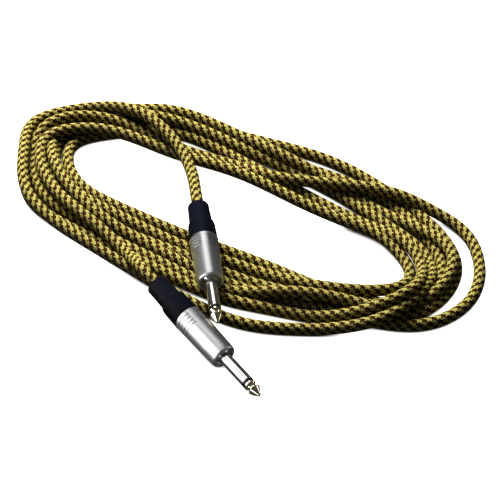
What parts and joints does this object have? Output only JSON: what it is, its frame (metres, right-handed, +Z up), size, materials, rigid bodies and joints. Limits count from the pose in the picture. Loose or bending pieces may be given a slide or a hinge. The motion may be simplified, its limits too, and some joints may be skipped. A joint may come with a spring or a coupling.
{
  "type": "instrument cable",
  "caption": "Braided textile instrument lead laid in a loose coil, with a straight mono phone plug on each end.",
  "frame": {"origin": "centre of the part's footprint, on the surface it lies on", "axes": "+X along the coil's long side, +Y away from the viewer, +Z up"},
  "size_m": [0.2495, 0.2253, 0.0222],
  "materials": {
    "braid": "yellow and dark brown braid",
    "boot_rubber": "matte moulded",
    "satin_nickel": "satin plated",
    "polished_nickel": "polished",
    "thread_brass": "machined",
    "chuck_plastic": "moulded",
    "pale_plastic": "moulded",
    "black_plastic": "moulded",
    "tinned_brass": "tinned",
    "copper_screen": "bare stranded"
  },
  "bodies": {
    "root": {"cord": "braid", "front_shell": "satin_nickel", "front_sleeve": "polished_nickel", "front_insulator_ring": "black_plastic", "front_tip": "polished_nickel", "front_rod": "thread_brass", "front_inner_insulator": "pale_plastic", "front_washer": "pale_plastic", "front_ground_terminal": "tinned_brass", "front_tip_terminal": "tinned_brass", "front_rivet": "thread_brass", "front_liner": "black_plastic", "front_core_wire": "pale_plastic", "front_shield_wire": "copper_screen", "rear_shell": "satin_nickel", "rear_sleeve": "polished_nickel", "rear_insulator_ring": "black_plastic", "rear_tip": "polished_nickel", "rear_rod": "thread_brass", "rear_inner_insulator": "pale_plastic", "rear_washer": "pale_plastic", "rear_ground_terminal": "tinned_brass", "rear_tip_terminal": "tinned_brass", "rear_rivet": "thread_brass", "rear_liner": "black_plastic", "rear_core_wire": "pale_plastic", "rear_shield_wire": "copper_screen"},
    "front_gland": {"front_chuck": "chuck_plastic"},
    "front_nut": {"front_bushing": "thread_brass", "front_boot": "boot_rubber"},
    "rear_gland": {"rear_chuck": "chuck_plastic"},
    "rear_nut": {"rear_bushing": "thread_brass", "rear_boot": "boot_rubber"}
  },
  "joints": [
    {"name": "front_chuck_travel", "type": "slide", "parent": "root", "child": "front_gland", "axis": [-0.606, 0.7869, 0.1167], "range_m": [0, 0.00625]},
    {"name": "front_boot_unscrew", "type": "hinge", "parent": "front_gland", "child": "front_nut", "pos_m": [-0.04482, -0.04304, 0.0135], "axis": [-0.606, 0.7869, 0.1167], "range_deg": [0, 1800]},
    {"name": "rear_chuck_travel", "type": "slide", "parent": "root", "child": "rear_gland", "axis": [-0.1271, 0.9919, 0.007], "range_m": [0, 0.00625]},
    {"name": "rear_boot_unscrew", "type": "hinge", "parent": "rear_gland", "child": "rear_nut", "pos_m": [-0.02445, 0.01479, 0.01481], "axis": [-0.1271, 0.9919, 0.007], "range_deg": [0, 1800]}
  ],
  "couplings": [
    {"joint": "front_chuck_travel", "follows": "front_boot_unscrew", "m_per_rad": 0.00019894},
    {"joint": "rear_chuck_travel", "follows": "rear_boot_unscrew", "m_per_rad": 0.00019894}
  ]
}
